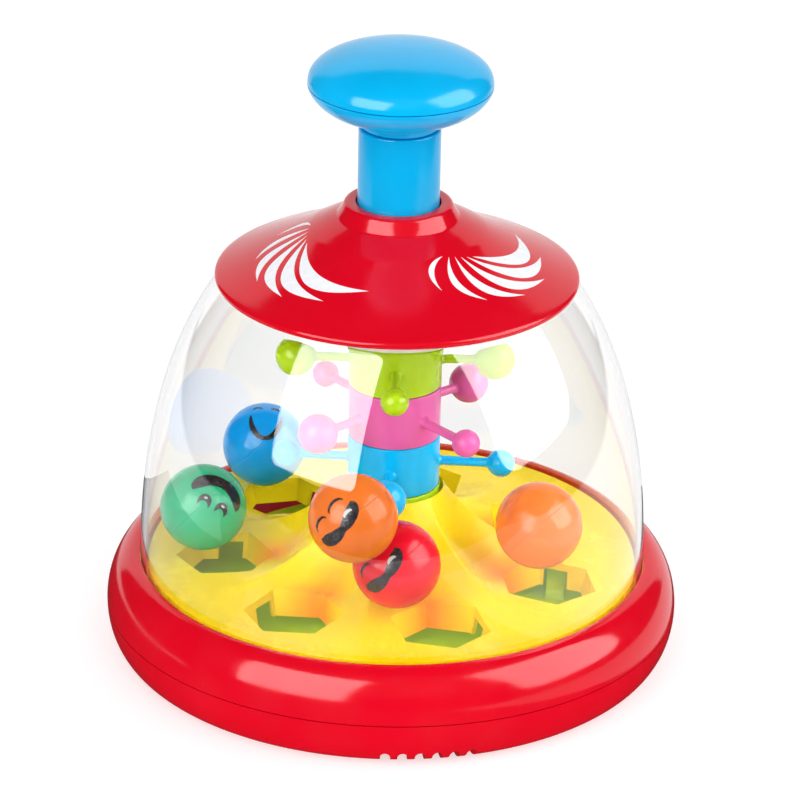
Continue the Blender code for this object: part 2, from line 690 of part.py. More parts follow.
def main():
    clear_scene()
    materials = {
        "red": make_material("red_plastic", RED, 0.18),
        "blue": make_material("blue_plastic", BLUE, 0.2),
        "yellow": make_material("yellow_plastic", YELLOW, 0.3),
        "lime": make_material("lime_plastic", LIME, 0.25),
        "pink": make_material("pink_plastic", PINK, 0.25),
        "sky": make_material("sky_plastic", SKY, 0.25),
        "white": make_material("natural_nylon", WHITE, 0.45),
        "steel": make_material("zinc_steel", STEEL, 0.3, 1.0),
        "brass": make_material("brass", (0.75, 0.55, 0.25), 0.3, 1.0),
        "clear": make_material("clear_styrene", (0.95, 0.96, 1.0), 0.05, 0.0, 0.2),
        "ball_blue": make_material("ball_blue_plastic", (0.0, 0.23, 0.68), 0.2),
        "ball_green": make_material("ball_green_plastic", (0.01, 0.40, 0.19), 0.2),
        "ball_orange": make_material("ball_orange_plastic", (0.85, 0.20, 0.04), 0.2),
        "ball_red": make_material("ball_red_plastic", (0.75, 0.01, 0.02), 0.2),
        "ball_coral": make_material("ball_coral_plastic", (0.80, 0.13, 0.03), 0.2),
    }
    plunger = add_joint_empty("plunger_press")
    rotor = add_joint_empty("rotor_spin")
    nut = add_joint_empty("nut_spin")
    build_base(materials["red"])
    build_floor(materials["yellow"])
    build_dome(materials["clear"])
    build_hat(materials["red"])
    build_housing(materials["white"])
    build_plunger(materials, plunger)
    build_spring(materials["steel"])
    build_rotor(materials["lime"], rotor)
    build_column(materials, rotor)
    build_clutch(materials, nut, rotor)
    build_pivot(materials)
    build_loose_balls(materials)
    add_screws("base_screw", BASE_SCREWS, 5.9, 22.0, 3.1, 1.35, materials["steel"])
    add_screws("collar_screw", COLLAR_SCREWS, 19.7, 27.6, 2.4, 1.2, materials["steel"])
    add_screws("hat_screw", HAT_SCREWS, 137.3, 151.0, 2.8, 1.35, materials["steel"])


main()
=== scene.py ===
"""Looks for the press-and-spin ball popper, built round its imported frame.

The toy stands on Z = 0 with its spin axis on Z. Sizes are in millimetres and become metres in
add_piece. The stage and the camera are placed in metres.
"""
from math import atan2, cos, degrees, pi, radians, sin, sqrt, tan

import bmesh
import bpy
from mathutils import Matrix, Vector


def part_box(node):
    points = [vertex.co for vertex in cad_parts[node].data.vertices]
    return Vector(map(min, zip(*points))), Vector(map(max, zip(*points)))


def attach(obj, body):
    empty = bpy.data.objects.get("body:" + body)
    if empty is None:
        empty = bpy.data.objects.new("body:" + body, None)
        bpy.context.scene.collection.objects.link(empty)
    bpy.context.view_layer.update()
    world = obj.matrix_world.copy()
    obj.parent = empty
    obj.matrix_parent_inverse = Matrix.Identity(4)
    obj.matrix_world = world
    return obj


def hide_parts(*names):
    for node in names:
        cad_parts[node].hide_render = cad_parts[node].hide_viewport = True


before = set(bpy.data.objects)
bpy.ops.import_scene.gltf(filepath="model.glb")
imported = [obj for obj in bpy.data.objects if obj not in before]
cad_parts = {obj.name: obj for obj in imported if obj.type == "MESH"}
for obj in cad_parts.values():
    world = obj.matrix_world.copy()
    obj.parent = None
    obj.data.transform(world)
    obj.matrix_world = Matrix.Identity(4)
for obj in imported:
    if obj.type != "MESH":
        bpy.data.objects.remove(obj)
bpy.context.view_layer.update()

MM = 0.001
TURN = 192                       # steps round a large turned piece
SMALL_TURN = 96
CURVE = 28                       # steps along a profile's curve
SHARP = 32.0                     # edges bent more than this stay sharp
GAP = 0.35                       # width of the seams between shells

# Sizes repeated from the CAD
BASE_R, SEAM_Z, SHELL_T = 99.65, 17.3, 2.2
FOOT_R, FOOT_W, BOTTOM_Z = 87.9, 3.4, 2.5
LOWER_POWERS = (2.3, 2.0)        # roundness of the lower shell's curve, across and up
UPPER_LIP_R, UPPER_LIP_Z = 89.2, 34.8
UPPER_POWERS = (1.84, 1.875)
DOME_R, DOME_T, DOME_TOP_Z = 87.9, 1.8, 139.4
DOME_CURVE = (16.7, 162.5, 1.97, 2.22)
DOME_HOLE_R = 17.6
FLOOR_T, FLOOR_HOLE_R, FLOOR_PEAK_Z, FLOOR_R = 2.0, 17.5, 60.0, 85.2
FLOOR_RIM_Z, FLOOR_FLAT_Z = 34.2, 33.2
CHANNEL_END_R, BAND_R, RIDGE_END_R = 41.0, 75.0, 77.0
RIDGE_LIFT = 0.3                 # of the ridges' lowest part above the flat
WELLS, WELL_FIRST, WELL_RADIUS = 7, -73.0, 58.3
WELL_HEX, WELL_SLOPE, SKIRT_Z, SKIRT_T = 15.0, 0.27, 25.0, 1.5
CAM_SLOT = (53.6, 62.0, 31.0)
DISC_R, DISC_Z, DISC_T = 73.0, 18.0, 2.2
CAM_ANGLES = [4.1, 107.0, 261.3]
CAM_R, CAM_TOP_Z, CAM_SPAN = (54.6, 61.0), 30.2, 26.0
RING_R, RING_BORE_R = 16.0, 13.5
RINGS = {                        # height of the arms, and angle of the first big one
    "arm_ring_blue": (69.5, 86.0),
    "arm_ring_pink": (88.5, 41.0),
    "arm_ring_green": (107.5, 0.0),
}
BIG_BALL, SMALL_BALL, ARM_R = (34.3, 7.0), (37.3, 4.8), 1.6
HAT_R, HAT_RIM_Z, HAT_T = 62.3, 140.0, 2.2
COLLAR_Z, COLLAR_R, COLLAR_BORE_R = 165.7, 19.1, 14.5
FLARE_R, CONE_SLOPE = 30.0, 0.55     # the flare's curve starts here; inside it is a cone
FLARE_BEND, FLARE_STRAIGHT = 0.21, 0.79     # shares of the flare's curved and straight rise
FLARE_POWER = 4.6
TUBE_R, TUBE_TOP_Z, TUBE_FOOT_Z, WEB_Z = 14.0, 192.6, 146.8, 184.0
KNOB_R, KNOB_SEAM_Z, KNOB_TOP_Z = 31.4, 208.0, 220.6
BOWL_POWERS, CROWN_POWERS = (1.85, 1.56), (2.0, 2.4)
BASE_SCREWS = (78.0, [4.1, 107.0, 209.9, 312.7])
COLLAR_SCREWS = (93.0, [20.0, 110.0, 200.0, 290.0])
HAT_SCREWS = (25.0, [30.0, 150.0, 270.0])
LOOSE_R = 15.0
LOOSE_BALLS = ["blue", "green", "orange", "red", "coral"]

# Notches of the base, taller and wider than in the CAD, which would not settle with notches this tall
NOTCH_ANGLES = [-90.6 + 3.55 * k for k in range(6)]
NOTCH_W, NOTCH_H = 3.4, 5.5
NOTCH_R, NOTCH_FALL = 97.0, 0.3  # full height at this radius, then a fall towards the middle

# Hat print: the same fan of crescents three times round, with angles from the fan's own direction
FANS = [-26.0 + 120.0 * k for k in range(3)]
PETALS = 6
PETAL_PITCH = 17.2               # between neighbouring tips
TIP_R, TIP_DROP = 52.5, 0.0058   # the middle tips reach furthest out
ROOT_R, ROOT_R_STEP = 31.2, 0.6
ROOT_ANGLE, ROOT_PITCH = -23.5, 4.0
PETAL_BULGES = (0.34, 0.20)      # outer and inner edge, as shares of the petal's length
PETAL_STEPS = 8

# Stage, in metres: x and y ranges of the table and of the white cards that lie on it
TABLE = ((-0.6, 0.6), (-0.5, 0.95))
TABLE_CARDS = {
    "card_back": ((-0.6, 0.6), (0.13, 0.94)),
    "card_right": ((0.12, 0.6), (-0.35, 0.13)),
    "card_left": ((-0.6, -0.3), (-0.1, 0.13)),
}
CARD_Z = 0.0006
BACKDROP_Y, BACKDROP_HALF_W, BACKDROP_TOP = 0.95, 0.8, 1.2
SOFTBOX_DISTANCE, SOFTBOX_AIM_Z, LAMP_AIM_Z = 1.2, 0.1, 0.08
SOFTBOXES = {                    # azimuth, elevation, width, height, radiance, corner rounding
    "softbox_left": (-128.0, 27.0, 0.97, 1.0, 7.4, 0.12),
    "softbox_right": (-15.0, 30.0, 1.15, 1.2, 6.2, 0.35),
}
SOFT_LAMPS = {                   # azimuth, elevation, distance, size, irradiance
    "lamp_left": (-128.0, 26.0, 1.2, 1.0, 0.8),
    "lamp_right": (-15.0, 30.0, 1.2, 1.0, 0.9),
    "lamp_front": (-92.0, 42.0, 1.7, 1.6, 1.7),
}
WORLD_LIGHT, WORLD_IN_GLOSS, WORLD_SEEN = 0.46, 0.03, 1.05
CAMERA_ELEVATION, CAMERA_PAN, CAMERA_TILT, CAMERA_ROLL = 23.97, 0.065, -0.276, 1.133
CAMERA_AIM_Z, CAMERA_DISTANCE, CAMERA_LENS = 0.1, 1.6, 208.9


# ---- materials ---------------------------------------------------------------------------------

class Graph:
    """A material's node tree, with short ways to add what these plastics need."""

    def __init__(self, name):
        self.material = bpy.data.materials.new(name)
        self.material.use_nodes = True
        self.tree = self.material.node_tree
        self.shader = self.tree.nodes["Principled BSDF"]
        self.output = self.tree.nodes["Material Output"]
        self.place = self.tree.nodes.new("ShaderNodeTexCoord").outputs["Object"]

    def noise(self, scale, detail=2.0, roughness=0.5, stretch=None):
        node = self.tree.nodes.new("ShaderNodeTexNoise")
        node.inputs["Scale"].default_value = scale
        node.inputs["Detail"].default_value = detail
        node.inputs["Roughness"].default_value = roughness
        source = self.place
        if stretch:
            mapping = self.tree.nodes.new("ShaderNodeMapping")
            mapping.inputs["Scale"].default_value = stretch
            mapping.inputs["Rotation"].default_value = (0.4, 0.3, 0.7)
            self.tree.links.new(source, mapping.inputs["Vector"])
            source = mapping.outputs["Vector"]
        self.tree.links.new(source, node.inputs["Vector"])
        return node.outputs["Fac"]

    def spread(self, source, low, high, out_low, out_high):
        node = self.tree.nodes.new("ShaderNodeMapRange")
        node.inputs["From Min"].default_value = low
        node.inputs["From Max"].default_value = high
        node.inputs["To Min"].default_value = out_low
        node.inputs["To Max"].default_value = out_high
        self.tree.links.new(source, node.inputs["Value"])
        return node.outputs["Result"]

    def maths(self, operation, a, b=None, clamp=False):
        node = self.tree.nodes.new("ShaderNodeMath")
        node.operation = operation
        node.use_clamp = clamp
        for socket, value in zip(node.inputs, (a, b)):
            if value is None:
                continue
            if isinstance(value, (int, float)):
                socket.default_value = value
            else:
                self.tree.links.new(value, socket)
        return node.outputs["Value"]

    def mix(self, share, one, other):
        node = self.tree.nodes.new("ShaderNodeMix")
        node.data_type = "RGBA"
        sockets = [s for s in node.inputs if s.type == "RGBA"]
        self.tree.links.new(share, node.inputs["Factor"])
        for socket, value in zip(sockets, (one, other)):
            if isinstance(value, tuple):
                socket.default_value = (*value, 1.0)
            else:
                self.tree.links.new(value, socket)
        return [s for s in node.outputs if s.type == "RGBA"][0]

    def bump(self, source, strength, distance, under=None):
        node = self.tree.nodes.new("ShaderNodeBump")
        node.inputs["Strength"].default_value = strength
        node.inputs["Distance"].default_value = distance
        self.tree.links.new(source, node.inputs["Height"])
        if under:
            self.tree.links.new(under, node.inputs["Normal"])
        return node.outputs["Normal"]

    def join(self, source, socket):
        self.tree.links.new(source, self.shader.inputs[socket])


def shaded(colour, factor):
    return tuple(min(max(c * factor, 0.0), 1.0) for c in colour)


# Specular levels of the glossy plastics and of the floor
GLOSS, FLOOR_GLOSS = 0.36, 0.2


def plastic(name, colour, roughness=0.14, grain=0.05, soft=0.0, mottling=0.06):
    """Moulded plastic: flow mottling, orange-peel skin, rubbed patches and hairline scratches."""
    graph = Graph(name)
    shader = graph.shader
    flow = graph.spread(graph.noise(38.0, 3.0, 0.55), 0.3, 0.7, 0.0, 1.0)
    darker, lighter = shaded(colour, 1.0 - mottling), shaded(colour, 1.0 + mottling)
    graph.join(graph.mix(flow, darker, lighter), "Base Color")
    handled = graph.spread(graph.noise(55.0, 4.0, 0.6), 0.42, 0.75, roughness, roughness + 0.10)
    scratches = graph.noise(1.0, 2.0, 0.5, (3000.0, 3000.0, 45.0))
    rubbed = graph.spread(scratches, 0.66, 0.74, 0.0, 0.10)
    graph.join(graph.maths("ADD", handled, rubbed, True), "Roughness")
    peel = graph.bump(graph.noise(420.0, 2.0, 0.5), grain, 0.0004)
    graph.join(graph.bump(scratches, grain * 0.6, 0.0001, peel), "Normal")
    if soft:
        shader.inputs["Subsurface Weight"].default_value = soft
        shader.inputs["Subsurface Radius"].default_value = (1.0, 0.6, 0.4)
        shader.inputs["Subsurface Scale"].default_value = 0.004
    shader.inputs["IOR"].default_value = 1.5
    shader.inputs["Specular IOR Level"].default_value = GLOSS
    return graph.material


def metal(name, colour, roughness):
    """Plated metal with turning marks, dull patches and a little tarnish."""
    graph = Graph(name)
    graph.shader.inputs["Metallic"].default_value = 1.0
    tarnish = graph.spread(graph.noise(220.0, 5.0, 0.6), 0.45, 0.75, 0.0, 1.0)
    graph.join(graph.mix(tarnish, colour, shaded(colour, 0.62)), "Base Color")
    uneven = graph.spread(graph.noise(500.0, 3.0), 0.3, 0.7, roughness * 0.7, roughness * 1.5)
    graph.join(uneven, "Roughness")
    marks = graph.noise(1.0, 2.0, 0.5, (200.0, 200.0, 6000.0))
    graph.join(graph.bump(marks, 0.15, 0.0001), "Normal")
    return graph.material


def clear_plastic(name):
    """Clear styrene with faint flow lines and fine scratches, which casts no shadow."""
    graph = Graph(name)
    shader = graph.shader
    shader.inputs["Base Color"].default_value = (0.985, 0.985, 0.992, 1.0)
    shader.inputs["Transmission Weight"].default_value = 1.0
    shader.inputs["IOR"].default_value = 1.49
    shader.inputs["Specular IOR Level"].default_value = GLOSS
    scratches = graph.noise(1.0, 2.0, 0.5, (900.0, 900.0, 30.0))
    graph.join(graph.spread(scratches, 0.72, 0.80, 0.0, 0.03), "Roughness")
    graph.join(graph.bump(graph.noise(30.0, 2.0, 0.4), 0.03, 0.0006), "Normal")
    path = graph.tree.nodes.new("ShaderNodeLightPath")
    through = graph.tree.nodes.new("ShaderNodeBsdfTransparent")
    mixed = graph.tree.nodes.new("ShaderNodeMixShader")
    graph.tree.links.new(path.outputs["Is Shadow Ray"], mixed.inputs["Fac"])
    graph.tree.links.new(shader.outputs["BSDF"], mixed.inputs[1])
    graph.tree.links.new(through.outputs["BSDF"], mixed.inputs[2])
    graph.tree.links.new(mixed.outputs["Shader"], graph.output.inputs["Surface"])
    return graph.material


def floor_plastic(name, bright, shade_orange):
    """The floor's yellow, with painted shade that turns it orange in the hollows of its seven
    channels.
    """
    graph = Graph(name)
    split = graph.tree.nodes.new("ShaderNodeSeparateXYZ")
    graph.tree.links.new(graph.place, split.inputs["Vector"])
    x, y = split.outputs["X"], split.outputs["Y"]
    squares = [graph.maths("MULTIPLY", axis, axis) for axis in (x, y)]
    radius = graph.maths("SQRT", graph.maths("ADD", *squares))
    pitch = 2.0 * pi / WELLS
    start = radians(WELL_FIRST) - 4.5 * pitch
    turned_by = graph.maths("SUBTRACT", graph.maths("ARCTAN2", y, x), start)
    wrapped = graph.maths("MODULO", turned_by, pitch)
    off = graph.maths("ABSOLUTE", graph.maths("SUBTRACT", wrapped, 0.5 * pitch))
    across = graph.spread(off, 0.30 * pitch, 0.06 * pitch, 0.0, 1.0)
    inner = graph.spread(radius, 0.026, 0.040, 0.0, 1.0)
    outer = graph.spread(radius, 0.060, 0.048, 0.0, 1.0)
    # painted shade: this mask turns the channels' hollows orange
    hollow = graph.maths("MULTIPLY", graph.maths("MULTIPLY", across, inner), outer)
    uneven = graph.spread(graph.noise(38.0, 3.0, 0.55), 0.3, 0.7, 0.75, 1.0)
    share = graph.maths("MULTIPLY", hollow, uneven, True)
    graph.join(graph.mix(share, bright, shade_orange), "Base Color")
    scratches = graph.noise(1.0, 2.0, 0.5, (2500.0, 60.0, 2500.0))
    rubbed = graph.spread(scratches, 0.62, 0.72, 0.0, 0.10)
    patches = graph.spread(graph.noise(60.0, 4.0, 0.6), 0.4, 0.75, 0.20, 0.34)
    graph.join(graph.maths("ADD", patches, rubbed, True), "Roughness")
    graph.join(graph.bump(graph.noise(500.0, 2.0), 0.06, 0.0004), "Normal")
    graph.shader.inputs["Specular IOR Level"].default_value = FLOOR_GLOSS
    return graph.material


def ink(name, colour, roughness):
    """Pad-printed ink, also used for painted highlights: a little uneven and broken at its grain."""
    graph = Graph(name)
    thin = graph.spread(graph.noise(1400.0, 3.0, 0.6), 0.35, 0.75, 0.0, 1.0)
    worn = shaded(colour, 0.97 if max(colour) > 0.5 else 2.2)
    graph.join(graph.mix(thin, colour, worn), "Base Color")
    uneven = graph.spread(graph.noise(300.0, 2.0), 0.3, 0.7, roughness, roughness + 0.12)
    graph.join(uneven, "Roughness")
    graph.join(graph.bump(graph.noise(2500.0, 2.0), 0.08, 0.0001), "Normal")
    return graph.material


# ---- mesh helpers ------------------------------------------------------------------------------

def at(radius, angle):
    return radius * cos(radians(angle)), radius * sin(radians(angle))


def heading(azimuth, elevation):
    """The unit direction out from the middle at these angles."""
    a, e = radians(azimuth), radians(elevation)
    return Vector((cos(a) * cos(e), sin(a) * cos(e), sin(e)))


def add_piece(name, bm, material=None, sharp=SHARP):
    """Turns a bmesh in millimetres into an object in metres."""
    bmesh.ops.scale(bm, vec=(MM, MM, MM), verts=bm.verts)
    bmesh.ops.recalc_face_normals(bm, faces=bm.faces)
    mesh = bpy.data.meshes.new(name)
    bm.to_mesh(mesh)
    bm.free()
    mesh.shade_smooth()
    mesh.set_sharp_from_angle(angle=radians(sharp))
    piece = bpy.data.objects.new(name, mesh)
    bpy.context.scene.collection.objects.link(piece)
    if material:
        mesh.materials.append(material)
    return piece


def settle(piece, body, slot, *nodes):
    """Says what body a piece rides on, and hides the CAD nodes it stands for; the finish it is given
    is not used.
    """
    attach(piece, body)
    if nodes:
        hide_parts(*nodes)
    return piece


def quarter(r0, z0, r1, z1, power_r, power_z, steps=CURVE):
    """Points from (r0, z0), where the curve is level, to (r1, z1), where it is upright."""
    points = []
    for k in range(steps + 1):
        t = 0.5 * pi * k / steps
        r = r0 + (r1 - r0) * sin(t) ** (2.0 / power_r)
        z = z1 + (z0 - z1) * max(cos(t), 0.0) ** (2.0 / power_z)
        points.append((r, z))
    return points


def eased(outline, steps=4):
    """Rounds an outline: a point with a third number is a corner with that radius."""
    count = len(outline)
    points = []
    for i, corner in enumerate(outline):
        if len(corner) < 3:
            points.append(corner)
            continue
        here = Vector(corner[:2])
        back = Vector(outline[i - 1][:2]) - here
        ahead = Vector(outline[(i + 1) % count][:2]) - here
        half = 0.5 * back.angle(ahead)
        reach = min(corner[2] / tan(half), 0.48 * back.length, 0.48 * ahead.length)
        radius = reach * tan(half)
        centre = here + (back.normalized() + ahead.normalized()).normalized() * (radius / sin(half))
        first = here + back.normalized() * reach - centre
        last = here + ahead.normalized() * reach - centre
        for k in range(steps + 1):
            spoke = first.lerp(last, k / steps).normalized() * radius
            points.append(tuple(centre + spoke))
    return points


def turned(profile, steps=TURN):
    """Spins a closed outline of (radius, height) points about Z."""
    bm = bmesh.new()
    turns = [2 * pi * k / steps for k in range(steps)]
    on_axis = abs(profile[0][0]) < 1e-6 and abs(profile[-1][0]) < 1e-6
    rings = []
    for r, z in profile:
        if abs(r) < 1e-6:
            rings.append([bm.verts.new((0.0, 0.0, z))])
        else:
            rings.append([bm.verts.new((r * cos(a), r * sin(a), z)) for a in turns])
    pairs = list(zip(rings, rings[1:]))
    if not on_axis:
        pairs.append((rings[-1], rings[0]))
    for one, other in pairs:
        for k in range(steps):
            m = (k + 1) % steps
            if len(one) == 1 and len(other) == 1:
                continue
            if len(one) == 1:
                bm.faces.new((one[0], other[k], other[m]))
            elif len(other) == 1:
                bm.faces.new((one[k], other[0], one[m]))
            else:
                bm.faces.new((one[k], other[k], other[m], one[m]))
    return bm


def drums(pattern, radius, z0, z1):
    """Upright cylinders on a ring of places, given as its radius and a list of angles."""
    bm = bmesh.new()
    for angle in pattern[1]:
        place = Matrix.Translation((*at(pattern[0], angle), 0.5 * (z0 + z1)))
        bmesh.ops.create_cone(bm, cap_ends=True, segments=40, radius1=radius, radius2=radius,
                              depth=z1 - z0, matrix=place)
    return bm


def cut(piece, bm, operation="DIFFERENCE"):
    """Joins or subtracts a tool mesh at once, so no tool is left in the scene."""
    tool = add_piece("tool", bm)
    modifier = piece.modifiers.new("boolean", "BOOLEAN")
    modifier.operation = operation
    modifier.solver = "EXACT"
    modifier.object = tool
    bpy.context.view_layer.update()
    depsgraph = bpy.context.evaluated_depsgraph_get()
    made = bpy.data.meshes.new_from_object(piece.evaluated_get(depsgraph))
    piece.modifiers.clear()
    piece.data = made
    bpy.data.objects.remove(tool, do_unlink=True)
    made.shade_smooth()
    made.set_sharp_from_angle(angle=radians(SHARP))
    return piece


def soften(piece):
    """Rounds every hard edge a little, as a mould leaves it."""
    modifier = piece.modifiers.new("edge", "BEVEL")
    modifier.width = 0.25 * MM
    modifier.segments = 2
    modifier.limit_method = "ANGLE"
    modifier.angle_limit = radians(40.0)
    modifier.use_clamp_overlap = True
    modifier.harden_normals = False


def smooth_path(points, steps):
    """A curve through the points, sampled evenly by its own length."""
    dense = []
    padded = [points[0]] + list(points) + [points[-1]]
    for a, b, c, d in zip(padded, padded[1:], padded[2:], padded[3:]):
        a, b, c, d = (Vector(p) for p in (a, b, c, d))
        for k in range(16):
            t = k / 16
            bend = 2 * a - 5 * b + 4 * c - d
            twist = 3 * b - a - 3 * c + d
            dense.append(0.5 * (2 * b + (c - a) * t + bend * t * t + twist * t ** 3))
    dense.append(Vector(points[-1]))
    lengths = [0.0]
    for a, b in zip(dense, dense[1:]):
        lengths.append(lengths[-1] + (b - a).length)
    path, i = [], 0
    for k in range(steps + 1):
        want = lengths[-1] * k / steps
        while i < len(lengths) - 2 and lengths[i + 1] < want:
            i += 1
        span = lengths[i + 1] - lengths[i]
        path.append(dense[i].lerp(dense[i + 1], (want - lengths[i]) / span if span else 0.0))
    return path


def print_or_glint_patch(bm, one_edge, other_edge, surface, lift=0.07, sink=0.05, along=40, across=5):
    """Adds a thin patch of print, also used for painted highlights, between two edges that share
    their ends, laid on a surface.

    surface(u, v) gives a point on the piece and its outward normal.
    """
    left, right = smooth_path(one_edge, along), smooth_path(other_edge, along)
    grids = []
    for height in (lift, -sink):
        grid = []
        for a, b in zip(left, right):
            row = []
            for k in range(across + 1):
                flat = a.lerp(b, k / across)
                place, normal = surface(flat.x, flat.y)
                row.append(bm.verts.new(place + normal * height))
            grid.append(row)
        grids.append(grid)
    top, under = grids
    for i in range(along):
        for k in range(across):
            bm.faces.new((top[i][k], top[i + 1][k], top[i + 1][k + 1], top[i][k + 1]))
            bm.faces.new((under[i][k + 1], under[i + 1][k + 1], under[i + 1][k], under[i][k]))
        bm.faces.new((top[i + 1][0], top[i][0], under[i][0], under[i + 1][0]))
        bm.faces.new((top[i][across], top[i + 1][across], under[i + 1][across], under[i][across]))
    for k in range(across):
        bm.faces.new((top[0][k], top[0][k + 1], under[0][k + 1], under[0][k]))
        bm.faces.new((top[along][k + 1], top[along][k], under[along][k], under[along][k + 1]))
    bmesh.ops.remove_doubles(bm, verts=bm.verts, dist=0.004)
    bmesh.ops.dissolve_degenerate(bm, edges=bm.edges, dist=0.002)


# ---- materials in use --------------------------------------------------------------------------

RED = (0.74, 0.0010, 0.014)
SKY = (0.0, 0.47, 0.88)
YELLOW = (1.0, 0.74, 0.004)
# painted shade: the orange that the floor's channels turn to
PAINTED_SHADE_ORANGE = (1.0, 0.29, 0.0)
LIME = (0.42, 0.66, 0.004)
PINK = (0.72, 0.12, 0.38)

red = plastic("red_plastic", RED, 0.11, 0.04, 0.0, 0.03)
knob_blue = plastic("knob_plastic", SKY, 0.13, 0.04)
sky = plastic("sky_plastic", SKY, 0.16, 0.05)
pink = plastic("pink_plastic", PINK, 0.16, 0.05)
lime = plastic("lime_plastic", LIME, 0.18, 0.05)
nylon = plastic("natural_nylon", (0.80, 0.80, 0.76), 0.42, 0.12, 0.1)
yellow = floor_plastic("yellow_plastic", YELLOW, PAINTED_SHADE_ORANGE)
clear = clear_plastic("clear_styrene")
steel = metal("zinc_steel", (0.62, 0.62, 0.64), 0.28)
brass = metal("brass", (0.78, 0.56, 0.26), 0.24)
white_ink = ink("white_print", (0.99, 0.98, 0.99), 0.22)
black_ink = ink("black_print", (0.012, 0.010, 0.012), 0.20)
# painted highlights: grey ink for the glints on the balls' faces
painted_glint_ink = ink("grey_painted_highlight", (0.55, 0.55, 0.52), 0.25)
BALL_COLOURS = {
    "blue": (0.0, 0.36, 0.92),
    "green": (0.012, 0.42, 0.19),
    "orange": (0.88, 0.21, 0.035),
    "red": (0.72, 0.002, 0.018),
    "coral": (0.74, 0.16, 0.018),
}


# ---- base --------------------------------------------------------------------------------------

def notch(bm, angle, steps):
    """Adds an arched cutter whose roof falls towards the middle, clear of the shell's inside."""
    half = NOTCH_W / 2
    outline = [(-half, None), (half, None)]
    for k in range(steps + 1):
        a = pi * k / steps
        outline.append((half * cos(a), NOTCH_H - half + half * sin(a)))
    turn = Matrix.Rotation(radians(angle), 4, "Z")
    ends = []
    for r in (FOOT_R - FOOT_W - 1.0, BASE_R):
        fall = NOTCH_FALL * (NOTCH_R - r)
        spots = [Vector((r, y, -1.0 if z is None else z - fall)) for y, z in outline]
        ends.append([bm.verts.new(turn @ spot) for spot in spots])
    bm.faces.new(ends[0])
    bm.faces.new(ends[1][::-1])
    for k in range(len(outline)):
        bm.faces.new((ends[0][k - 1], ends[1][k - 1], ends[1][k], ends[0][k]))
    bmesh.ops.recalc_face_normals(bm, faces=bm.faces)


def build_base():
    seam = SEAM_Z - GAP
    outer = quarter(FOOT_R, 0.0, BASE_R, seam, *LOWER_POWERS)
    inner = quarter(FOOT_R - SHELL_T, BOTTOM_Z + SHELL_T, BASE_R - SHELL_T, seam, *LOWER_POWERS)
    inner = [point for point in inner if point[1] < 14.0]
    profile = [
        (0.0, BOTTOM_Z),
        (60.0, BOTTOM_Z),
        (FOOT_R - FOOT_W, BOTTOM_Z, 0.8),
        (FOOT_R - FOOT_W, 0.0, 0.5),
        *outer,
        (BASE_R - 2.6, seam),
        (BASE_R - 2.6, 19.5, 0.3),
        (BASE_R - 3.7, 19.5, 0.3),
        (BASE_R - 3.7, 14.5),
        *inner[::-1],
        (6.5, BOTTOM_Z + SHELL_T),
        (6.5, 15.8, 0.3),
        (2.8, 15.8),
        (2.8, 4.2),
        (0.0, 4.2),
    ]
    lower = add_piece("base_lower", turned(eased(profile)), red)
    cut(lower, drums(BASE_SCREWS, 4.6, 4.0, 11.5), "UNION")
    cut(lower, drums(BASE_SCREWS, 3.5, -1.0, 6.2))
    cut(lower, drums(BASE_SCREWS, 1.8, 5.0, 13.0))
    notches = bmesh.new()
    for angle in NOTCH_ANGLES:
        notch(notches, angle, 12)
    cut(lower, notches)
    settle(lower, "base", "red_plastic", "base_lower_shell")

    outside = quarter(UPPER_LIP_R, UPPER_LIP_Z, BASE_R, SEAM_Z, *UPPER_POWERS, 36)
    inside = quarter(90.3, UPPER_LIP_Z - 2.4, BASE_R - SHELL_T, SEAM_Z, *UPPER_POWERS, 16)[::-1]
    lip = [(90.3, 30.1), (DOME_R + 0.35, 30.1), (DOME_R + 0.35, UPPER_LIP_Z - 0.3)]
    upper = add_piece("base_upper", turned(outside + inside + lip), red)
    cut(upper, drums(COLLAR_SCREWS, 2.5, 22.4, 29.8), "UNION")
    cut(upper, drums(COLLAR_SCREWS, 1.5, 21.0, 28.6))
    settle(upper, "base", "red_plastic", "base_upper_shell")


def build_dome():
    crown_r, crown_z, power_r, power_z = DOME_CURVE

    def wall(offset, limit):
        curve = quarter(crown_r, crown_z - offset, DOME_R - offset, 33.0, power_r, power_z, 64)
        return [point for point in curve if point[0] > limit]

    crown = [(DOME_HOLE_R, DOME_TOP_Z), (55.5, DOME_TOP_Z), (57.6, 139.2), (59.0, 138.5)]
    foot = [(DOME_R, 29.8), (90.0, 29.8), (90.0, 28.0), (DOME_R - DOME_T, 28.0)]
    ceiling = [(55.6, DOME_TOP_Z - DOME_T), (DOME_HOLE_R, DOME_TOP_Z - DOME_T)]
    profile = crown + wall(0.0, 60.0) + foot + wall(DOME_T, 58.0)[::-1] + ceiling
    dome = add_piece("dome_shell", turned(profile, 256), clear)
    cut(dome, drums(HAT_SCREWS, 1.7, 136.0, 141.0))
    settle(dome, "base", "clear_styrene", "dome")


# ---- floor -------------------------------------------------------------------------------------

def channel_height(r):
    if r < CHANNEL_END_R:
        share = (CHANNEL_END_R - r) / (CHANNEL_END_R - FLOOR_HOLE_R)
        return FLOOR_FLAT_Z + (FLOOR_PEAK_Z - FLOOR_FLAT_Z) * share ** 1.7
    if r < BAND_R:
        return FLOOR_FLAT_Z
    share = (r - BAND_R) / (FLOOR_R - BAND_R)
    return FLOOR_FLAT_Z + (FLOOR_RIM_Z - FLOOR_FLAT_Z) * share


def ridge_height(r):
    share = max(RIDGE_END_R - r, 0.0) / (RIDGE_END_R - FLOOR_HOLE_R)
    rise = FLOOR_PEAK_Z - FLOOR_FLAT_Z - RIDGE_LIFT
    return max(channel_height(r), FLOOR_FLAT_Z + RIDGE_LIFT + rise * share ** 3.0)


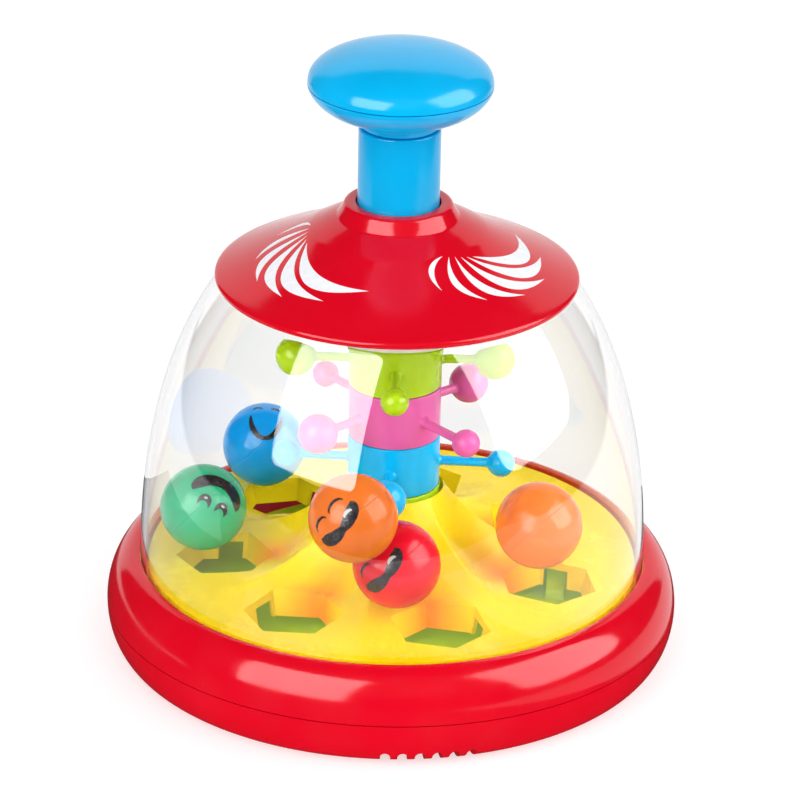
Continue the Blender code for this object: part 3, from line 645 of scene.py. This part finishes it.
def floor_height(r, angle):
    pitch = 360.0 / WELLS
    off = (angle - WELL_FIRST + 0.5 * pitch) % pitch - 0.5 * pitch
    share = (abs(off) / (0.5 * pitch)) ** 2.0
    return channel_height(r) * (1.0 - share) + ridge_height(r) * share


def hexagon(bm, angle, wall, z0, z1=None):
    """Adds a hexagonal funnel on a well; with no top height it ends inside the floor."""
    centre = at(WELL_RADIUS, angle)
    low, high = [], []
    for k in range(6):
        a = angle + 60.0 * k
        x, y = at(WELL_HEX + wall + WELL_SLOPE * (z0 - SKIRT_Z), a)
        low.append(bm.verts.new((centre[0] + x, centre[1] + y, z0)))
        reach = (z1 or FLOOR_FLAT_Z) - SKIRT_Z
        x, y = at(WELL_HEX + wall + WELL_SLOPE * reach, a)
        x, y = centre[0] + x, centre[1] + y
        top = z1 or floor_height(sqrt(x * x + y * y), degrees(atan2(y, x))) - 0.7
        high.append(bm.verts.new((x, y, top)))
    peak = bm.verts.new((centre[0], centre[1], z1 or FLOOR_FLAT_Z - 0.7))
    bm.faces.new(reversed(low))
    for k in range(6):
        m = (k + 1) % 6
        bm.faces.new((low[k], low[m], high[m], high[k]))
        bm.faces.new((high[k], high[m], peak))


def build_floor():
    steps = WELLS * 36
    radii = [FLOOR_HOLE_R + 0.6 * k * (1.0 + 0.028 * k) for k in range(52)]
    radii = [r for r in radii if r < FLOOR_R - 0.5] + [FLOOR_R]
    rim = [
        (FLOOR_R, 27.7),
        (89.7, 27.7),
        (89.7, 22.0),
        (96.0, 22.0),
        (96.0, 20.0),
        (87.7, 20.0),
        (87.7, 25.7),
        (FLOOR_R - FLOOR_T, 25.7),
        (FLOOR_R - FLOOR_T, FLOOR_RIM_Z - FLOOR_T - 0.2),
    ]
    bm = bmesh.new()
    sections = []
    for k in range(steps):
        angle = WELL_FIRST + 360.0 * (k + 0.5) / steps
        top = [(r, floor_height(r, angle)) for r in radii]
        under = [(r, floor_height(r, angle) - FLOOR_T) for r in radii[:-2:2][::-1]]
        ring = []
        for r, z in top + rim + under:
            x, y = at(r, angle)
            ring.append(bm.verts.new((x, y, z)))
        sections.append(ring)
    count = len(sections[0])
    for k in range(steps):
        here, there = sections[k], sections[(k + 1) % steps]
        for i in range(count):
            m = (i + 1) % count
            bm.faces.new((here[i], here[m], there[m], there[i]))
    floor = add_piece("floor_with_wells", bm, yellow)
    angles = [WELL_FIRST + 360.0 * k / WELLS for k in range(WELLS)]
    skirts = bmesh.new()
    for angle in angles:
        hexagon(skirts, angle, SKIRT_T + 0.2, SKIRT_Z)
    cut(floor, skirts, "UNION")
    cut(floor, drums(BASE_SCREWS, 4.0, 11.8, 32.2), "UNION")
    r0, r1, slot_top = CAM_SLOT
    cut(floor, turned([(r0, slot_top), (r1, slot_top), (r1, 23.0), (r0, 23.0)]))
    holes = bmesh.new()
    for angle in angles:
        hexagon(holes, angle, 0.0, SKIRT_Z - 4.0, 48.0)
    cut(floor, holes)
    cut(floor, drums(BASE_SCREWS, 1.7, 10.0, 25.0))
    cut(floor, drums(COLLAR_SCREWS, 1.5, 19.0, 23.0))
    floor.visible_shadow = False         # a shortcut: the lamps reach down into the wells
    settle(floor, "base", "yellow_plastic", "floor_plate")


# ---- hat and knob ------------------------------------------------------------------------------

def hat_height(r):
    """The hat's flare: a straight cone near the collar, then a curve that eases towards the rim."""
    out = max(r, FLARE_R)
    share = 1.0 - (out - COLLAR_R) / (HAT_R - 1.0 - COLLAR_R)
    rise = FLARE_BEND * share ** FLARE_POWER + FLARE_STRAIGHT * share
    return HAT_RIM_Z + (COLLAR_Z - 0.8 - HAT_RIM_Z) * rise + CONE_SLOPE * (out - r)


def on_hat(x, y):
    """A point of the hat's upper face above (x, y), and its normal."""
    r = sqrt(x * x + y * y)
    slope = (hat_height(r + 0.1) - hat_height(r - 0.1)) / 0.2
    return Vector((x, y, hat_height(r))), Vector((-slope * x / r, -slope * y / r, 1.0)).normalized()


def petal(fan, step):
    """The two edges of one crescent; step counts petals from the middle of its fan."""
    swing = PETAL_PITCH * step
    root = Vector(at(ROOT_R + ROOT_R_STEP * step, fan + ROOT_ANGLE + ROOT_PITCH * step))
    chord = Vector(at(TIP_R - TIP_DROP * swing ** 2, fan + swing)) - root
    side = Vector((chord.y, -chord.x))
    edges = []
    for bulge in PETAL_BULGES:
        edge = []
        for k in range(PETAL_STEPS + 1):
            t = k / PETAL_STEPS
            edge.append(tuple(root + chord * t + side * (4.0 * bulge * t * (1.0 - t))))
        edges.append(edge)
    return edges


def build_hat():
    flare = [(r, hat_height(r)) for r in [24.0 + 0.75 * k for k in range(47)]]
    rim = [
        (59.6, 140.85),
        (60.6, 140.3),
        (HAT_R - 0.9, 139.9),
        (HAT_R - 0.4, 139.55),
        (HAT_R - 0.1, 139.1),
        (HAT_R, 138.6),
        (HAT_R - 0.12, 138.1),
        (HAT_R - 0.5, 137.5),
        (HAT_R - 0.9, 137.4),
        (HAT_R - 1.35, 137.5),
        (60.7, 138.1),
    ]
    under_radii = (58.0, 55.0, 50.0, 45.0, 40.0, 35.0, 31.0, 27.0, 22.0)
    under = [(r, hat_height(r) - HAT_T) for r in under_radii]
    tube = [
        (18.6, 160.2),
        (16.6, 159.6),
        (16.6, 149.3),
        (COLLAR_BORE_R, 149.3),
        (COLLAR_BORE_R, COLLAR_Z, 0.3),
    ]
    collar = [(18.2, COLLAR_Z, 1.7), (COLLAR_R, 163.6), (20.9, 160.6, 2.0)]
    profile = eased(collar + flare + rim + under + tube)
    hat = add_piece("hat_shell", turned(profile), red, 50.0)
    ribs = bmesh.new()
    for angle in HAT_SCREWS[1]:
        turn = Matrix.Rotation(radians(angle), 4, "Z") @ Matrix.Translation((20.3, 0.0, 153.6))
        bmesh.ops.create_cube(ribs, size=1.0, matrix=turn @ Matrix.Diagonal((8.8, 1.8, 7.2, 1.0)))
    cut(hat, ribs, "UNION")
    cut(hat, drums(HAT_SCREWS, 3.2, 142.0, 155.6), "UNION")
    cut(hat, drums(HAT_SCREWS, 1.7, 140.0, 153.0))
    settle(hat, "base", "red_plastic", "hat")
    places = [(fan, k - 0.5 * (PETALS - 1)) for fan in FANS for k in range(PETALS)]
    for number, (fan, step) in enumerate(places, start=1):
        bm = bmesh.new()
        print_or_glint_patch(bm, *petal(fan, step), on_hat)
        settle(add_piece("hat_print_" + str(number), bm, white_ink), "base", "red_plastic")


def build_knob():
    tube = [
        (TUBE_R - 1.6, TUBE_TOP_Z),
        (TUBE_R, TUBE_TOP_Z, 0.5),
        (TUBE_R, TUBE_FOOT_Z + 1.8),
        (14.95, TUBE_FOOT_Z + 1.8, 0.2),
        (14.95, TUBE_FOOT_Z, 0.2),
        (TUBE_R - 1.6, TUBE_FOOT_Z),
        (TUBE_R - 1.6, WEB_Z),
        (1.6, WEB_Z),
        (1.6, WEB_Z + 2.0),
        (TUBE_R - 1.6, WEB_Z + 2.0),
    ]
    piece = add_piece("press_tube", turned(eased(tube), SMALL_TURN), knob_blue)
    settle(piece, "plunger", "blue_plastic", "plunger_tube")

    seam = KNOB_SEAM_Z - GAP
    bowl = quarter(15.2, 197.0, KNOB_R, seam, *BOWL_POWERS)[::-1]
    neck = [
        (14.3, 196.3),
        (13.5, 195.4),
        (13.2, 194.4),
        (13.2, 192.95, 0.3),
        (12.0, 192.95),
        (12.0, 187.0, 0.2),
        (10.4, 187.0),
        (10.4, 196.0),
    ]
    hollow = quarter(14.5, 199.4, KNOB_R - 2.4, seam, *BOWL_POWERS)
    piece = add_piece("knob_lower", turned(eased(bowl + neck + hollow), 160), knob_blue)
    settle(piece, "plunger", "blue_plastic", "knob_bowl")

    crown = quarter(0.0, KNOB_TOP_Z, KNOB_R, KNOB_SEAM_Z, *CROWN_POWERS)
    inside = quarter(0.0, KNOB_TOP_Z - 2.2, KNOB_R - 2.4, KNOB_SEAM_Z, *CROWN_POWERS)[::-1]
    piece = add_piece("knob_top", turned(crown + inside, 160), knob_blue)
    settle(piece, "plunger", "blue_plastic", "knob_cap")


# ---- rotor -------------------------------------------------------------------------------------

def build_rotor():
    profile = [
        (RING_BORE_R, 61.0),
        (16.2, 61.0, 0.4),
        (16.2, 24.0),
        (16.5, 22.4),
        (17.4, 21.0),
        (19.2, DISC_Z + DISC_T),
        (DISC_R, DISC_Z + DISC_T, 0.6),
        (DISC_R, DISC_Z, 0.6),
        (4.4, DISC_Z),
        (4.4, 32.0),
        (6.8, 32.0),
        (6.8, DISC_Z + 3.0),
        (RING_BORE_R, DISC_Z + 3.0),
    ]
    rotor = add_piece("spinning_disc", turned(eased(profile), 160), lime)
    cams = bmesh.new()
    r0, r1 = CAM_R
    steps = 24
    foot = DISC_Z + DISC_T - 0.5
    for angle in CAM_ANGLES:
        rings = []
        for k in range(steps + 1):
            share = k / steps
            hump = max(sin(pi * share), 0.0) ** 0.7
            height = foot + (CAM_TOP_Z - DISC_Z - DISC_T + 0.5) * hump
            ring = []
            for r, z in ((r0, DISC_Z + 1.0), (r1, DISC_Z + 1.0), (r1, height), (r0, height)):
                x, y = at(r, angle + CAM_SPAN * (share - 0.5))
                ring.append(cams.verts.new((x, y, z)))
            rings.append(ring)
        cams.faces.new(rings[0])
        cams.faces.new(reversed(rings[-1]))
        for here, there in zip(rings, rings[1:]):
            for k in range(4):
                m = (k + 1) % 4
                cams.faces.new((here[k], here[m], there[m], there[k]))
    cut(rotor, cams, "UNION")
    settle(rotor, "rotor", "lime_plastic", "rotor_disc")


def arm_profile(reach, ball_r):
    """Outline of an arm: its end ball, a small fillet, the shaft and its flare at the ring."""
    fillet = 1.2
    join = atan2(ARM_R + 0.5, sqrt(ball_r ** 2 - (ARM_R + 0.5) ** 2))
    points = [(0.0, reach + ball_r)]
    for k in range(1, 19):
        a = (pi - join) * k / 18
        points.append((ball_r * sin(a), reach + ball_r * cos(a)))
    neck = points[-1][1]
    points += [(ARM_R + 0.16, neck - 0.45 * fillet), (ARM_R, neck - fillet)]
    points += [(ARM_R, RING_R + 1.3), (ARM_R + 0.2, RING_R + 0.5), (ARM_R + 0.7, RING_R - 0.1)]
    points += [(ARM_R + 0.7, RING_R - 1.4), (0.0, RING_R - 1.4)]
    return points


def build_rings():
    finishes = {
        "arm_ring_blue": (sky, "sky_plastic"),
        "arm_ring_pink": (pink, "pink_plastic"),
        "arm_ring_green": (lime, "lime_plastic"),
    }
    level = Matrix.Rotation(radians(90.0), 4, "Y")
    for name, (arm_z, first) in RINGS.items():
        material, finish = finishes[name]
        low, high = (corner[2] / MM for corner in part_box(name))
        sleeve = [(RING_BORE_R, high), (RING_R, high, 0.4), (RING_R, low, 0.4), (RING_BORE_R, low)]
        ring = add_piece("turning_" + name, turned(eased(sleeve), SMALL_TURN), material)
        for k in range(4):
            reach, ball_r = BIG_BALL if k % 2 == 0 else SMALL_BALL
            arm = turned(arm_profile(reach, ball_r), 40)
            turn = Matrix.Rotation(radians(first + 90.0 * k), 4, "Z")
            place = Matrix.Translation((0, 0, arm_z)) @ turn @ level
            bmesh.ops.transform(arm, matrix=place, verts=arm.verts)
            cut(ring, arm, "UNION")
        settle(ring, "rotor", finish, name)
    cap = [
        (3.4, 121.2),
        (6.0, 121.2, 0.3),
        (6.0, 119.2),
        (15.7, 119.2, 0.4),
        (15.7, 117.6, 0.3),
        (11.0, 117.6),
        (11.0, 113.3),
        (3.4, 113.3),
    ]
    piece = add_piece("column_top", turned(eased(cap), SMALL_TURN), lime)
    settle(piece, "rotor", "lime_plastic", "column_cap")


# ---- loose balls -------------------------------------------------------------------------------

def ball_surface(centre, azimuth, elevation, roll):
    """Gives surface(u, v) of a ball: lengths over its skin, u to the face's right and v up."""
    a, e, turn = radians(azimuth), radians(elevation), radians(roll)
    normal = heading(azimuth, elevation)
    level_up = Vector((-cos(a) * sin(e), -sin(a) * sin(e), cos(e)))
    up = level_up * cos(turn) + level_up.cross(normal) * sin(turn)
    right = up.cross(normal)

    def surface(u, v):
        far = sqrt(u * u + v * v)
        if far < 1e-9:
            return centre + normal * LOOSE_R, normal
        way = (right * u + up * v) / far
        out = normal * cos(far / LOOSE_R) + way * sin(far / LOOSE_R)
        return centre + out * LOOSE_R, out

    return surface


def stroke(points, widths):
    """The two edges of a stroke along a middle line, with its width at each point."""
    points = [Vector(p) for p in points]
    one, other = [], []
    for i, (p, width) in enumerate(zip(points, widths)):
        way = (points[min(i + 1, len(points) - 1)] - points[max(i - 1, 0)]).normalized()
        side = Vector((-way.y, way.x)) * 0.5 * width
        one.append(tuple(p + side))
        other.append(tuple(p - side))
    return one, other


def mouth(half_width, top, drop, lobe, neck):
    """A laughing mouth along a U: a lobe on each side, and a neck between them above the tongue."""
    points, widths = [], []
    for k in range(17):
        share = k / 16
        a = pi * (1.0 + share)
        points.append((half_width * cos(a), top + drop * sin(a)))
        fullness = abs(sin(2.0 * pi * share)) ** 0.8
        widths.append(0.3 + lobe * fullness + neck * sin(pi * share) * (1.0 - fullness))
    return stroke(points, widths)


def eye(side, height, half_width, rise, width):
    """A closed, smiling eye: an arch thickest in the middle; a negative rise turns it over."""
    points, widths = [], []
    for k in range(9):
        a = pi * (1.0 - k / 8)
        points.append((side + half_width * cos(a), height + rise * sin(a)))
        widths.append(0.3 + width * sin(a))
    return stroke(points, widths)


def eyes(apart, *shape):
    return [eye(apart, *shape), eye(-apart, *shape)]


SMILE = [mouth(5.7, 2.6, 9.6, 1.7, 1.0)] + eyes(3.3, 5.6, 1.6, 1.1, 0.9)
GRIN = [mouth(8.9, 2.6, 6.6, 4.6, 4.1)] + eyes(3.4, 6.9, 2.1, -3.0, 2.2)
LAUGH = [mouth(8.8, -0.2, 4.6, 4.4, 2.3)] + eyes(4.2, 2.0, 3.2, 2.0, 0.8)
# Glints: painted highlights, grey strokes on the eyes and inside the laughing mouth
GRIN_GLINTS = eyes(3.4, 4.2, 0.6, -0.2, 0.5)
LAUGH_GLINTS = [eye(5.2, -3.0, 1.7, 0.9, 0.9)]

# Where each face looks (azimuth, elevation and roll), its dark printed marks and its painted
# highlights
FACES = {
    "blue": ((-84.0, 60.0, 7.0), SMILE, []),
    "green": ((-57.0, 43.0, -137.0), GRIN, GRIN_GLINTS),
    "red": ((-119.0, 20.0, -62.0), LAUGH, LAUGH_GLINTS),
    "coral": ((-119.0, 20.0, -62.0), LAUGH, LAUGH_GLINTS),
}


def build_balls():
    for colour in LOOSE_BALLS:
        name = "ball_" + colour
        low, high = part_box(name)
        centre = (Vector(low) + Vector(high)) * (0.5 / MM)
        outline = []
        for k in range(65):
            a = pi * k / 64
            outline.append((LOOSE_R * sin(a) if 0 < k < 64 else 0.0, LOOSE_R * cos(a)))
        outline[31:34] = [
            (LOOSE_R, 0.35),
            (LOOSE_R, 0.1),
            (LOOSE_R - 0.12, 0.0),
            (LOOSE_R, -0.1),
            (LOOSE_R, -0.35),
        ]
        bm = turned(outline, 112)
        tilt = Vector((0.6, -0.3, 0.75)).to_track_quat("X", "Z").to_matrix().to_4x4()
        bmesh.ops.transform(bm, matrix=Matrix.Translation(centre) @ tilt, verts=bm.verts)
        material = plastic(name + "_plastic", BALL_COLOURS[colour], 0.16, 0.05)
        body = "loose_" + colour
        settle(add_piece("toy_" + name, bm, material, 60.0), body, name + "_plastic", name)
        if colour not in FACES:
            continue
        looks, marks, glints = FACES[colour]
        surface = ball_surface(centre, *looks)
        # the glint layer is painted highlight, in grey ink
        print_and_glint_layers = (("mark", marks, black_ink, 0.07), ("glint", glints, painted_glint_ink, 0.11))
        for label, items, finish, lift in print_and_glint_layers:
            for number, (one, other) in enumerate(items, start=1):
                bm = bmesh.new()
                print_or_glint_patch(bm, one, other, surface, lift, 0.06, 36, 8)
                piece = add_piece("_".join((name, label, str(number))), bm, finish)
                settle(piece, body, name + "_plastic")


# ---- carried-over nodes ------------------------------------------------------------------------

def finish_nodes():
    """Gives each CAD node that stays its material, and its moulded pieces a rounded edge."""
    finishes = {
        nylon: ["guide_housing", "spindle_tube", "drive_nut", "thrust_washer"],
        lime: ["clutch_ring"],
        brass: ["pivot_bush"],
        steel: ["rod_screw", "twist_rod", "return_spring", "pivot_pin"]
        + [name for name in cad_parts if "_screw_" in name],
    }
    for material, names in finishes.items():
        for name in names:
            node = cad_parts[name]
            node.data.materials.clear()
            node.data.materials.append(material)
            node.data.shade_smooth()
            node.data.set_sharp_from_angle(angle=radians(35.0))
            if name in ("guide_housing", "drive_nut", "clutch_ring"):
                soften(node)


# ---- stage -------------------------------------------------------------------------------------

def glow(name, strength, albedo=0.0):
    """A surface that shines white, and with an albedo also takes light like a matt sheet."""
    material = bpy.data.materials.new(name)
    material.use_nodes = True
    shader = material.node_tree.nodes["Principled BSDF"]
    shader.inputs["Base Color"].default_value = (albedo, albedo, albedo, 1.0)
    shader.inputs["Roughness"].default_value = 0.9
    shader.inputs["Specular IOR Level"].default_value = 0.1 if albedo else 0.0
    shader.inputs["Emission Color"].default_value = (1.0, 1.0, 1.0, 1.0)
    shader.inputs["Emission Strength"].default_value = strength
    return material


def sheet_of(name, corners, material):
    mesh = bpy.data.meshes.new(name)
    mesh.from_pydata(corners, [], [tuple(range(len(corners)))])
    mesh.materials.append(material)
    item = bpy.data.objects.new(name, mesh)
    bpy.context.scene.collection.objects.link(item)
    return item


def flat_sheet(name, x_range, y_range, z, material):
    (x0, x1), (y0, y1) = x_range, y_range
    return sheet_of(name, [(x0, y0, z), (x1, y0, z), (x1, y1, z), (x0, y1, z)], material)


def softbox(name, azimuth, elevation, width, height, radiance, rounding):
    """A glowing panel that faces the toy and shows only in its gloss and through clear plastic."""
    out = heading(azimuth, elevation)
    centre = Vector((0.0, 0.0, SOFTBOX_AIM_Z)) + out * SOFTBOX_DISTANCE
    side = out.cross(Vector((0, 0, 1))).normalized()
    upward = side.cross(out)
    half_w, half_h = 0.5 * width, 0.5 * height
    corner = rounding * min(half_w, half_h)
    points = []
    for cx, cy, start in ((1, 1, 0), (-1, 1, 90), (-1, -1, 180), (1, -1, 270)):
        for k in range(9):
            turn = radians(start + 90 * k / 8)
            x = cx * (half_w - corner) + corner * cos(turn)
            y = cy * (half_h - corner) + corner * sin(turn)
            points.append(centre + side * x + upward * y)
    item = sheet_of(name, [tuple(p) for p in points], glow(name, radiance))
    item.visible_camera = False
    item.visible_diffuse = False


def soft_lamp(name, azimuth, elevation, distance, size, irradiance):
    """A large lamp that lights matt surfaces only, so its shape never shows in the gloss."""
    out = heading(azimuth, elevation)
    lamp = bpy.data.lights.new(name, "AREA")
    lamp.shape = "SQUARE"
    lamp.size = size
    lamp.energy = irradiance * pi * distance ** 2
    item = bpy.data.objects.new(name, lamp)
    item.location = Vector((0.0, 0.0, LAMP_AIM_Z)) + out * distance
    item.rotation_euler = out.to_track_quat("Z", "Y").to_euler()
    item.visible_glossy = False
    item.visible_transmission = False
    item.visible_camera = False
    bpy.context.scene.collection.objects.link(item)


def build_world():
    """A pale surround: it lights matt surfaces, hardly shows in gloss, and is white to the camera."""
    world = bpy.data.worlds.new("studio")
    bpy.context.scene.world = world
    world.use_nodes = True
    tree = world.node_tree
    tree.nodes.clear()
    path = tree.nodes.new("ShaderNodeLightPath")
    output = tree.nodes.new("ShaderNodeOutputWorld")
    shades = []
    for strength in (WORLD_LIGHT, WORLD_IN_GLOSS, WORLD_SEEN):
        shade = tree.nodes.new("ShaderNodeBackground")
        shade.inputs["Color"].default_value = (0.97, 0.98, 1.0, 1.0)
        shade.inputs["Strength"].default_value = strength
        shades.append(shade.outputs["Background"])
    for ray, shade in (("Is Glossy Ray", shades[1]), ("Is Camera Ray", shades[2])):
        mixed = tree.nodes.new("ShaderNodeMixShader")
        tree.links.new(path.outputs[ray], mixed.inputs["Fac"])
        tree.links.new(shades[0], mixed.inputs[1])
        tree.links.new(shade, mixed.inputs[2])
        shades[0] = mixed.outputs["Shader"]
    tree.links.new(shades[0], output.inputs["Surface"])


def build_stage():
    table = flat_sheet("table", *TABLE, 0.0, glow("table_paper", 0.62, 0.5))
    table.visible_glossy = False
    card = glow("backdrop_paper", 1.0)
    for name, ranges in TABLE_CARDS.items():
        low = flat_sheet(name, *ranges, CARD_Z, card)       # shows only in the gloss
        low.visible_camera = False
        low.visible_diffuse = False
        low.visible_transmission = False
        low.visible_shadow = False
    places = ((-1, 0.0), (1, 0.0), (1, BACKDROP_TOP), (-1, BACKDROP_TOP))
    corners = [(side * BACKDROP_HALF_W, BACKDROP_Y, z) for side, z in places]
    backdrop = sheet_of("backdrop", corners, card)
    backdrop.visible_camera = False          # it would hide the toy from behind
    for name, numbers in SOFTBOXES.items():
        softbox(name, *numbers)
    for name, numbers in SOFT_LAMPS.items():
        soft_lamp(name, *numbers)
    build_world()
    bpy.context.scene.view_settings.view_transform = "Standard"


def build_camera():
    angles = (CAMERA_ELEVATION, CAMERA_PAN, CAMERA_TILT, CAMERA_ROLL)
    elevation, pan, tilt, roll = (radians(angle) for angle in angles)
    forward = Vector((0.0, cos(elevation), -sin(elevation)))
    upward = Vector((0.0, sin(elevation), cos(elevation)))
    place = Vector((0.0, 0.0, CAMERA_AIM_Z)) - forward * CAMERA_DISTANCE
    aim = (forward + tan(pan) * Vector((1, 0, 0)) + tan(tilt) * upward).normalized()
    level = aim.cross(Vector((0, 0, 1))).normalized()
    over = level.cross(aim)
    right = cos(roll) * level + sin(roll) * over
    above = cos(roll) * over - sin(roll) * level
    data = bpy.data.cameras.new("camera")
    data.sensor_width = 36.0
    data.lens = CAMERA_LENS
    data.clip_start, data.clip_end = 0.05, 20.0
    item = bpy.data.objects.new("camera", data)
    turn = Matrix((right, above, -aim)).transposed()
    item.matrix_world = Matrix.Translation(place) @ turn.to_4x4()
    bpy.context.scene.collection.objects.link(item)
    bpy.context.scene.camera = item


build_camera()
build_base()
build_dome()
build_floor()
build_hat()
build_knob()
build_rotor()
build_rings()
build_balls()
finish_nodes()
build_stage()
